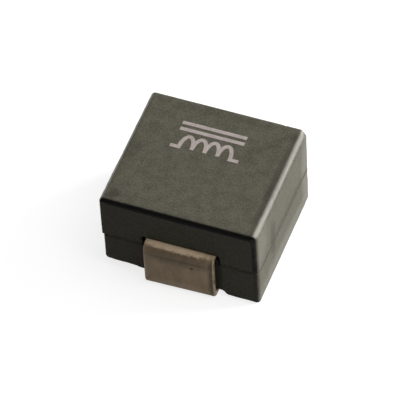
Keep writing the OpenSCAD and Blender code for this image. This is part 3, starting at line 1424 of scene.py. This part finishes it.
@dataclass
class FoldedStrip:
    """The one-piece copper strip, swept along its folded path."""

    thickness: float = 0.5 * MM
    bend_outer_radius: float = 0.7 * MM
    pad_length: float = 2.9 * MM
    edge_radius: float = 0.13 * MM
    lean: float = 0.03
    step: float = 0.09 * MM
    uneven: float = 0.035 * MM
    uneven_cell: float = 1.6 * MM
    rim_reach: float = 1.02

    def path(self) -> list[Point]:
        """Lists the corners of the strip's middle line, from one pad's end to the other's.

        Returns:
            The corners, in metres.
        """
        low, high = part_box("conductor")
        x, half = (low.x + high.x) / 2, self.thickness / 2
        leg, top = high.y - half, high.z - half
        pad_end = high.y - self.pad_length
        one_side = [(x, pad_end, low.z + half), (x, leg, low.z + half), (x, leg, top)]
        return one_side + [(x, -y, z) for x, y, z in reversed(one_side)]

    def build(self, material: Material) -> Piece:
        """Sweeps and dresses the strip.

        Args:
            material: Its tin finish.

        Returns:
            The finished object.
        """
        low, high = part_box("conductor")
        tree = SweepTree("folded_strip", PathShape.STRIP, material, {
            "Bend Radius": self.bend_outer_radius - self.thickness / 2,
            "Width": high.x - low.x,
            "Thickness": self.thickness,
            "Edge Radius": self.edge_radius,
            "Step": self.step,
            "Uneven": self.uneven,
            "Noise Cell": self.uneven_cell,
            "Lean": self.lean,
            "Lean Start": low.y + self.bend_outer_radius,
            "Lean Centre": (low.x + high.x) / 2,
        })
        made = tree.run("folded_strip", self.path())
        close_and_orient(made.data, 0.002 * MM)
        across = point_values(made, "position")[:, 0]
        edge = np.minimum(across - low.x, high.x - across)
        add_point_values(made, RIM, np.clip(1 - edge / (self.rim_reach * self.edge_radius), 0, 1))
        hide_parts("conductor")
        return finish_piece(made)


@dataclass
class JointBeads:
    """The adhesive in the joint: a thin layer on each side of the slot, and the bead squeezed out round it."""

    front_depth: float = 0.065 * MM
    side_depth: float = 0.11 * MM
    half_height: float = 0.13 * MM
    half_depth: float = 0.08 * MM
    step: float = 0.12 * MM
    uneven: float = 0.7
    uneven_cell: float = 0.9 * MM
    corner_radius: float = 0.45 * MM
    layer_segments: int = 8

    def build(self, material: Material) -> None:
        """Sweeps and dresses both beads, each with its layer.

        Args:
            material: The adhesive's finish.
        """
        tree = SweepTree("joint_bead", PathShape.BEAD, material, {
            "Bend Radius": self.corner_radius,
            "Width": self.half_height,
            "Thickness": self.half_depth,
            "Step": self.step,
            "Uneven": self.uneven,
            "Noise Cell": self.uneven_cell,
        })
        low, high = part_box("lower_core")
        front, back = low.y + self.front_depth, high.y - self.front_depth
        for node, outer in (("left_bond", low.x + self.side_depth), ("right_bond", high.x - self.side_depth)):
            bond_low, bond_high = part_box(node)
            inner = bond_high.x if node == "left_bond" else bond_low.x
            z = (bond_low.z + bond_high.z) / 2
            made = tree.run(f"{node}_bead", [(inner, front, z), (outer, front, z), (outer, back, z), (inner, back, z)])
            close_and_orient(made.data, 0.001 * MM)
            add_point_values(made, RIM, np.zeros(len(made.data.vertices)))
            finish_piece(made)
            self.layer(node, material)

    def layer(self, node: str, material: Material) -> Piece:
        """Builds and dresses one layer, with its outer corners rounded to lie inside the joint.

        Args:
            node: The frame node that it stands for.
            material: The adhesive's finish.

        Returns:
            The finished object.
        """
        low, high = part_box(node)
        way = 1.0 if high.x > 0 else -1.0
        inner, outer = (low.x, high.x) if way > 0 else (high.x, low.x)
        turns = np.linspace(0, QUARTER_TURN, self.layer_segments + 1)
        across = outer - way * self.corner_radius * (1 - np.sin(turns))
        along = high.y - self.corner_radius * (1 - np.cos(turns))
        plan = [(inner, high.y), *zip(across, along), *zip(across[::-1], -along[::-1]), (inner, low.y)]
        if way > 0:
            plan.reverse()
        count = len(plan)
        points = np.array([(x, y, z) for z in (low.z, high.z) for x, y in plan])
        faces = [(i, (i + 1) % count, count + (i + 1) % count, count + i) for i in range(count)]
        faces += [tuple(reversed(range(count))), tuple(range(count, 2 * count))]
        made = mesh_object(f"{node}_layer", points, faces)
        made.data.materials.append(material)
        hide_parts(node)
        return finish_piece(made)


@dataclass
class CoilSign:
    """A plain coil sign in pale ink: a row of humps on two leads, with the two bars of a ferrite core over it."""

    width: float = 5.3 * MM
    humps: int = 4
    hump_height: float = 1.2 * MM
    stroke: float = 0.32 * MM
    ink_thickness: float = 0.012 * MM
    lead: float = 0.55 * MM
    bar_gap: float = 0.62 * MM
    overlap_rise: float = 0.0015 * MM
    bars: int = 2
    centre_x: float = -0.35 * MM
    centre_y: float = 2.25 * MM
    long_points: int = 24
    lead_points: int = 4

    def tree(self, material: Material) -> GeometryTree:
        """Builds the geometry tree of the sign.

        Args:
            material: The ink.

        Returns:
            The tree, with named inputs for its sizes.
        """
        tree = GeometryTree("coil_sign", {
            "Width": self.width, "Hump Height": self.hump_height, "Stroke": self.stroke,
            "Ink Thickness": self.ink_thickness, "Lead": self.lead, "Bar Gap": self.bar_gap,
            "Humps": self.humps, "Bars": self.bars,
        })
        n, get = tree.nodes, tree.given
        coil = n.math("SUBTRACT", get["Width"], n.math("MULTIPLY", get["Lead"], 2.0))
        pitch = n.math("DIVIDE", coil, get["Humps"])
        hump = {0: self._line(n, pitch, self.long_points), "Position": self._hump_place(n, get, pitch)}
        lead = self._line(n, n.math("ADD", get["Lead"], get["Stroke"]), self.lead_points)
        lead_pitch = n.math("ADD", coil, get["Lead"])
        bar = self._line(n, get["Width"], self.long_points)
        above = n.math("ADD", get["Bar Gap"], get["Hump Height"])
        first_hump = n.math("MULTIPLY", n.math("SUBTRACT", pitch, coil), 0.5)
        first_lead = {"X": n.math("MULTIPLY", lead_pitch, -0.5), "Z": -self.overlap_rise}
        joined = n.add("GeometryNodeJoinGeometry")
        for stroke, count, start, step in (
            (n.add("GeometryNodeSetPosition", hump).outputs[0], get["Humps"],
             {"X": first_hump}, {"X": pitch, "Z": self.overlap_rise}),
            (lead, 2, first_lead, {"X": lead_pitch}),
            (bar, get["Bars"], {"Y": above}, {"Y": get["Bar Gap"]}),
        ):
            n.feed(joined, 0, self._row(n, stroke, count, start, step))
        box = {"Width": get["Stroke"], "Height": get["Ink Thickness"]}
        section = n.add("GeometryNodeCurvePrimitiveQuadrilateral", box).outputs[0]
        sweep = {"Curve": joined.outputs[0], "Profile Curve": section, "Fill Caps": True}
        tree.finish(n.add("GeometryNodeCurveToMesh", sweep).outputs[0], material, smooth=False)
        return tree

    def _line(self, n: NodeTree, length: Socket, count: int) -> Socket:
        """Wires a straight stroke along X, centred on the origin.

        Args:
            n: The geometry tree.
            length: The stroke's length.
            count: Its number of points.

        Returns:
            The curve's socket.
        """
        start, end = (n.point(X=n.math("MULTIPLY", length, share)) for share in (-0.5, 0.5))
        line = n.add("GeometryNodeCurvePrimitiveLine", {"Start": start, "End": end}).outputs[0]
        return n.add("GeometryNodeResampleCurve", {"Curve": line, "Count": count}, mode="COUNT").outputs[0]

    def _hump_place(self, n: NodeTree, get: dict, pitch: Socket) -> Socket:
        """Wires the half ellipse that bends a straight stroke into one hump.

        Args:
            n: The geometry tree.
            get: The tree's inputs by name.
            pitch: The hump's width.

        Returns:
            The position's socket.
        """
        turn = n.math("MULTIPLY", n.add("GeometryNodeSplineParameter").outputs["Factor"], math.pi)
        x = n.math("MULTIPLY", n.math("COSINE", turn), n.math("MULTIPLY", pitch, -0.5))
        return n.point(X=x, Y=n.math("MULTIPLY", n.math("SINE", turn), get["Hump Height"]))

    def _row(self, n: NodeTree, stroke: Socket, count: object, start: dict, step: dict) -> Socket:
        """Wires a row of equal strokes.

        Args:
            n: The geometry tree.
            stroke: The stroke that repeats.
            count: How many there are.
            start: Place of the first one, by axis.
            step: Distance from each to the next, by axis.

        Returns:
            The strokes' socket.
        """
        places = {"Count": count, "Start Location": n.point(**start), "Offset": n.point(**step)}
        line = n.add("GeometryNodeMeshLine", places, mode="OFFSET").outputs[0]
        placed = n.add("GeometryNodeInstanceOnPoints", {"Points": line, "Instance": stroke}).outputs[0]
        return n.add("GeometryNodeRealizeInstances", {0: placed}).outputs[0]

    def build(self, material: Material) -> Piece:
        """Prints the sign on the upper core.

        Args:
            material: The ink.

        Returns:
            The finished object.
        """
        made = self.tree(material).run("coil_sign", [(0, 0, 0), (MM, 0, 0)])
        height = self.hump_height + self.bars * self.bar_gap
        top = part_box("upper_core")[1].z + 0.5 * self.ink_thickness
        place = np.array((self.centre_x, self.centre_y - height / 2, top))
        set_points(made, point_values(made, "position") + place)
        close_and_orient(made.data, 0.001 * MM)
        return finish_piece(made)


# ---------------------------------------------------------------- marks of handling, painted shade and painted light


class Marks:
    """Where adhesive, handling and folding have marked the inductor, and where painted shade and painted light lie on
    it, from the frame's boxes.
    """

    def __init__(self) -> None:
        """Finds the places that the marks lie beside."""
        low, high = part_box("upper_core")
        strip_low, strip_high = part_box("conductor")
        middle, seam = (strip_low.x + strip_high.x) / 2, (low.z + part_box("left_bond")[0].z) / 2
        self.right_joint = (high.x, 0.0, seam)
        self.right_front_joint = (high.x, low.y, seam)
        self.right_foot = (high.x, 0.0, 0.0)
        self.right_back = (high.x, high.y, high.z / 2)
        self.front_joint = (strip_high.x, low.y, seam)
        self.slot_left = (strip_low.x, low.y, strip_high.z)
        self.slot_right = (strip_high.x, low.y, strip_high.z)
        self.top = (0.0, 0.0, high.z)
        self.top_right = (high.x, 0.0, high.z)
        self.top_back = (0.0, high.y, high.z)
        self.bend = (middle, strip_low.y, strip_high.z)
        self.bend_left = (strip_low.x, strip_low.y, strip_high.z)
        self.leg_left = (strip_low.x, strip_low.y, 0.0)
        self.leg_right = (strip_high.x, strip_low.y, strip_high.z / 2)
        self.leg_foot = (middle, strip_low.y, 0.0)

    def joint_stains_and_shade(self) -> tuple[Blot, ...]:
        """Lists the adhesive's smears beside the joint, and painted shade beside the strip's leg and in both ends of
        the slot.

        Returns:
            The smears and painted shade of both halves.
        """
        return (
            Blot.near(self.right_joint, (0, -2.4, 0.6), (0.5, 0.85, 2.7), 0.48, 0.8),
            Blot.near(self.right_joint, (0, 1.6, 0.15), (0.4, 5.4, 0.7), 0.38, 0.5),
            Blot.near(self.right_front_joint, (0, 2.0, 0), (0.4, 2.4, 0.3), 0.4, 0.4),
            # The last three are painted shade: beside the leg's right side, in the slot's right end and in its left
            # end.
            Blot.near(self.front_joint, (0.25, 0, -1.6), (0.4, 0.8, 2.6), 0.7, 0.2),
            Blot.near(self.slot_right, (0.15, 0, -0.7), (0.35, 0.5, 0.9), 0.85, 0.2),
            Blot.near(self.slot_left, (-0.3, 0, -0.25), (0.42, 0.4, 0.42), 0.9, 0.2),
        )

    def top_stains(self) -> tuple[Blot, ...]:
        """Lists the dark patches of the top face: left ones, a slanting one, and those by two rims.

        Returns:
            The further stains of the upper half.
        """
        return (
            Blot.near(self.top, (-5.5, -4.95, 0), (0.8, 0.7, 0.3), 0.45, 0.9),
            Blot.near(self.top, (-5.7, -0.4, 0), (0.8, 1.3, 0.3), 0.25, 0.9),
            Blot.near(self.top, (4.3, 3.5, 0), (3.2, 0.55, 0.3), 0.2, 0.8, math.atan2(3.5, 3.7)),
            Blot.near(self.top_right, (-0.6, 0, 0), (0.5, 7.0, 0.3), 0.4, 0.5),
            Blot.near(self.top_back, (0, -0.6, 0), (7.0, 0.6, 0.3), 0.15, 0.8),
        )

    def side_painted_light(self) -> tuple[Blot, ...]:
        """Lists the painted light on the right face: along its foot, at its back and by its front.

        Returns:
            The rubbed places of both halves.
        """
        return (
            Blot.near(self.right_foot, (0, 0, 0.7), (0.4, 9.0, 1.4), 0.5),
            Blot.near(self.right_back, (0, -0.6, 0), (0.4, 1.5, 6.0), 0.6),
            Blot.near(self.right_front_joint, (0, 0.8, 2.6), (0.4, 2.0, 3.0), 0.35),
        )

    def tarnish_and_shade(self) -> tuple[Blot, ...]:
        """Lists the dull band and line under the bend, a pit, and painted shade on the right edge of the leg.

        Returns:
            The strip's dark marks and painted shade.
        """
        return (
            Blot.near(self.bend, (0, 0, -0.7), (4.6, 0.5, 1.2), 0.45, 0.3),
            Blot.near(self.bend, (0, 0, -0.95), (4.0, 0.4, 0.17), 0.3, 0.5),
            Blot.near(self.bend_left, (3.95, 0, -1.45), (0.2, 0.3, 0.16), 0.9),
            # Painted shade on the leg's right side.
            Blot.near(self.leg_right, (0, 0, 0), (0.6, 1.2, 3.6), 0.7, 0.4),
        )

    def painted_highlights(self) -> tuple[Blot, ...]:
        """Lists the painted highlights: bright bands on the bend, the leg's left and bottom edges, and small spots on
        the bend.

        Returns:
            The strip's painted highlights.
        """
        spots = ((-1.8, 0.3), (-0.75, 0.45), (0.2, 0.5), (1.5, 0.35))
        return (
            Blot.near(self.bend, (-0.6, 0.6, 0), (4.4, 0.65, 0.42), 0.55, 0.25),
            Blot.near(self.bend, (-0.6, 0.42, -0.06), (3.6, 0.36, 0.3), 0.7, 1.5),
            Blot.near(self.leg_left, (0, 0, 2.2), (0.3, 0.5, 3.0), 0.3),
            Blot.near(self.leg_foot, (0, 0, 0.75), (3.6, 0.4, 0.6), 0.2),
            *(Blot.near(self.bend, (x, 0.31, -0.13), (size, 0.16, 0.14), 0.8, 1.2) for x, size in spots),
        )


# ---------------------------------------------------------------- the studio


@dataclass(frozen=True)
class CameraView:
    """Where the camera stands, in degrees and in widths of the inductor."""

    azimuth: float = 23.18
    elevation: float = 50.32
    roll: float = -3.54
    distance_widths: float = 25.31
    aim_right_widths: float = 0.0338
    aim_up_widths: float = 0.0169
    width_in_frame: float = 0.41533
    sensor: float = 36.0
    clip: tuple[float, float] = (0.01, 50.0)

    def place(self, centre: Vector, width: float) -> None:
        """Makes the scene's camera.

        Args:
            centre: Middle of the ferrite body.
            width: Width of the ferrite body.
        """
        a, e, r = (math.radians(v) for v in (self.azimuth, self.elevation, self.roll))
        back = Vector((math.sin(a) * math.cos(e), -math.cos(a) * math.cos(e), math.sin(e)))
        level = Vector((0, 0, 1)).cross(back).normalized()
        upright = back.cross(level)
        right = level * math.cos(r) + upright * math.sin(r)
        up = upright * math.cos(r) - level * math.sin(r)
        data = bpy.data.cameras.new("camera")
        data.sensor_width = self.sensor
        data.lens = self.sensor * self.width_in_frame * self.distance_widths
        data.clip_start, data.clip_end = self.clip
        away = self.distance_widths * back - self.aim_right_widths * right - self.aim_up_widths * up
        camera = linked("camera", data)
        camera.matrix_world = Matrix.Translation(centre + width * away) @ Matrix(list(zip(right, up, back))).to_4x4()
        bpy.context.scene.camera = camera


@dataclass
class Studio:
    """A plain pale floor, one large soft key light, a weak fill and a dim room."""

    floor_half: float = 3.0
    floor_grey: Colour = (0.12, 0.115, 0.105, 1.0)
    floor_seen_grey: Colour = (0.3, 0.3, 0.3, 1.0)
    floor_white: float = 0.8
    lamp_distance: float = 0.6
    key_direction: Point = (0.8, 0.56, 0.23)
    key_size: tuple[float, float] = (0.26, 0.5)
    key_power: float = 10.0
    top_direction: Point = (0.42, 0.04, 0.9)
    top_power: float = 2.1
    top_size: tuple[float, float] = (0.47, 0.47)
    room_direction: Point = (0.4, 0.7, 0.6)
    room_span: tuple[float, float] = (-0.35, 0.95)
    room_front: float = 0.02
    room_back: float = 0.4

    def lamp(self, name: str, direction: Point, power: float, size: tuple[float, float]) -> None:
        """Hangs one rectangular area lamp that faces the object.

        Args:
            name: The lamp's name.
            direction: From the object to the lamp.
            power: Its power, in watts.
            size: Its width and height, in metres.
        """
        data = bpy.data.lights.new(name, "AREA")
        data.shape = "RECTANGLE"
        data.energy, data.size, data.size_y = power, *size
        away = Vector(direction).normalized()
        lamp = linked(name, data)
        lamp.location = away * self.lamp_distance
        lamp.visible_camera = False
        lamp.rotation_mode = "QUATERNION"
        lamp.rotation_quaternion = away.to_track_quat("Z", "Y")

    def floor(self) -> None:
        """Lays the floor, white to the camera and pale to the light."""
        h = self.floor_half
        made = mesh_object("floor", np.array([(-h, -h, 0), (h, -h, 0), (h, h, 0), (-h, h, 0)]), [(0, 1, 2, 3)])
        material = bpy.data.materials.new("floor")
        n = emptied_tree(material)
        path = n.add("ShaderNodeLightPath").outputs
        reflected = n.math("MAXIMUM", path["Is Glossy Ray"], path["Is Transmission Ray"])
        seen = n.math("MAXIMUM", path["Is Camera Ray"], reflected)
        plain, soft = (n.add("ShaderNodeBsdfDiffuse", {"Color": grey}).outputs[0]
                       for grey in (self.floor_grey, self.floor_seen_grey))
        white = n.add("ShaderNodeEmission", {"Color": WHITE, "Strength": self.floor_white}).outputs[0]
        shown = n.add("ShaderNodeAddShader", {0: soft, 1: white}).outputs[0]
        mixed = n.add("ShaderNodeMixShader", {0: seen, 1: plain, 2: shown}).outputs[0]
        n.add("ShaderNodeOutputMaterial", {"Surface": mixed})
        made.data.materials.append(material)
        made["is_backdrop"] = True

    def room(self) -> None:
        """Fills the room with a soft light that is stronger behind the object than before it."""
        world = bpy.data.worlds.new("room")
        n = emptied_tree(world)
        direction = n.add("ShaderNodeTexCoord").outputs["Generated"]
        toward = tuple(Vector(self.room_direction).normalized())
        facing = n.vector("DOT_PRODUCT", direction, toward, "Value")
        strength = n.ramp(facing, *self.room_span, self.room_front, self.room_back)
        light = n.add("ShaderNodeBackground", {"Color": WHITE, "Strength": strength}).outputs[0]
        n.add("ShaderNodeOutputWorld", {"Surface": light})
        bpy.context.scene.world = world

    def build(self) -> None:
        """Sets up the floor, the lamps, the room and the view."""
        self.floor()
        self.lamp("key", self.key_direction, self.key_power, self.key_size)
        self.lamp("top", self.top_direction, self.top_power, self.top_size)
        self.room()
        bpy.context.scene.view_settings.view_transform = "Standard"


# ---------------------------------------------------------------- everything together


def main() -> None:
    """Builds the whole scene."""
    logging.basicConfig(level=logging.INFO, format="%(name)s %(message)s")
    cad_low, cad_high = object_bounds()
    effects, marks = SurfaceEffects(), Marks()
    # The joint marks hold the adhesive smears and the painted shade by the strip; the side marks are painted light.
    joint, lights = marks.joint_stains_and_shade(), marks.side_painted_light()
    adhesive = Finish("cured_adhesive", (0.078, 0.073, 0.057, 1), (0.05, 0.047, 0.037, 1), specular=0.05)
    ink = Finish("pale_ink", (0.36, 0.31, 0.29, 1), (0.25, 0.215, 0.2, 1),
                 specular=0.2, cloud_cell=0.6 * MM, fine_cell=0.15 * MM)

    pieces = (
        (UpperCore(), FerriteFinish("ferrite_upper", stains_and_shade=joint + marks.top_stains(), lights=lights)),
        (LowerCore(), FerriteFinish("ferrite_lower", stains_and_shade=joint, lights=lights)),
        (FoldedStrip(), TinFinish("tin_plate", stains_and_shade=marks.tarnish_and_shade(), lights=marks.painted_highlights())),
        (JointBeads(), adhesive),
        (CoilSign(), ink),
    )
    for piece, finish in pieces:
        piece.build(finish.material(effects))

    Studio().build()
    low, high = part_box("upper_core")
    middle = (low + high) / 2
    CameraView().place(Vector((middle.x, middle.y, cad_high.z / 2)), high.x - low.x)

    low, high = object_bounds()


if __name__ == "__main__":
    main()
